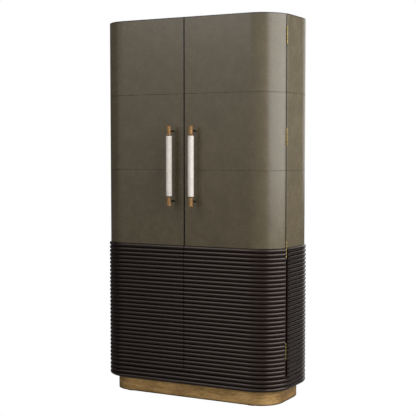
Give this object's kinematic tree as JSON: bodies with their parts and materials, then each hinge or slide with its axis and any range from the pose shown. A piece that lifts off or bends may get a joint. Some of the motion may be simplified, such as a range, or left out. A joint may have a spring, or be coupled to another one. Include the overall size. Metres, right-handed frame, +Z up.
{
  "type": "bar armoire",
  "caption": "Tall bar cabinet with rounded front corners; wrap-around leather doors over horizontal ribs, long pulls, brass plinth, and a fitted bar interior",
  "frame": {"origin": "on the floor under the middle of the bounding box", "axes": "+Z up, front with the doors towards -Y, +X to the viewer's right"},
  "size_m": [1.1468, 0.572, 2.134],
  "materials": {
    "leather": "olive-taupe, fine grain, soft sheen",
    "ebonised_wood": "ebonised, satin",
    "antique_brass": "antique, mottled, satin",
    "hinge_brass": "polished",
    "handle_brass": "antique, satin",
    "bone": "bone-like, faintly speckled",
    "dark_metal": "dark bronze",
    "mirror": "plain mirror",
    "glass": "clear, polished edge",
    "glide_plastic": "black",
    "catch_plastic": "dark brown",
    "strike_steel": "plain",
    "interior_wood": "satin walnut",
    "shell_wood": "stained plywood"
  },
  "bodies": {
    "carcass": {"back_panel": "shell_wood", "base_rail": "shell_wood", "base_rail_ribs": "ebonised_wood", "bottle_rack": "interior_wood", "bottom_panel": "shell_wood", "counter": "interior_wood", "door_catches": "catch_plastic", "floor_glides": "glide_plastic", "glass_shelf_cleats": "interior_wood", "glass_shelves": "glass", "left_hinge_fixed_leaves": "hinge_brass", "left_hinge_pins": "hinge_brass", "left_side_leather_lower": "leather", "left_side_leather_middle": "leather", "left_side_leather_upper": "leather", "left_side_panel": "shell_wood", "left_side_ribs": "ebonised_wood", "lower_partition": "interior_wood", "lower_shelf_cleats": "interior_wood", "lower_shelves": "interior_wood", "mirror": "mirror", "plinth_frame": "shell_wood", "plinth_skirt": "antique_brass", "right_hinge_fixed_leaves": "hinge_brass", "right_hinge_pins": "hinge_brass", "right_side_leather_lower": "leather", "right_side_leather_middle": "leather", "right_side_leather_upper": "leather", "right_side_panel": "shell_wood", "right_side_ribs": "ebonised_wood", "stemware_rails": "interior_wood", "top_panel": "shell_wood", "upper_partitions": "interior_wood", "upper_shelf": "interior_wood"},
    "right_door": {"right_door_leather_lower": "leather", "right_door_leather_middle": "leather", "right_door_leather_upper": "leather", "right_door_panel": "shell_wood", "right_door_ribs": "ebonised_wood", "right_door_strike_plate": "strike_steel", "right_handle_ends": "handle_brass", "right_handle_grip": "bone", "right_handle_posts": "dark_metal", "right_hinge_door_leaves": "hinge_brass"},
    "left_door": {"left_door_leather_lower": "leather", "left_door_leather_middle": "leather", "left_door_leather_upper": "leather", "left_door_panel": "shell_wood", "left_door_ribs": "ebonised_wood", "left_door_strike_plate": "strike_steel", "left_handle_ends": "handle_brass", "left_handle_grip": "bone", "left_handle_posts": "dark_metal", "left_hinge_door_leaves": "hinge_brass"}
  },
  "joints": [
    {"name": "right_door_swing", "type": "hinge", "parent": "carcass", "child": "right_door", "pos_m": [0.56284, -0.09181, 0.3], "axis": [0, 0, 1], "range_deg": [0, 110]},
    {"name": "left_door_swing", "type": "hinge", "parent": "carcass", "child": "left_door", "pos_m": [-0.56284, -0.09181, 0.3], "axis": [0, 0, -1], "range_deg": [0, 110]}
  ]
}
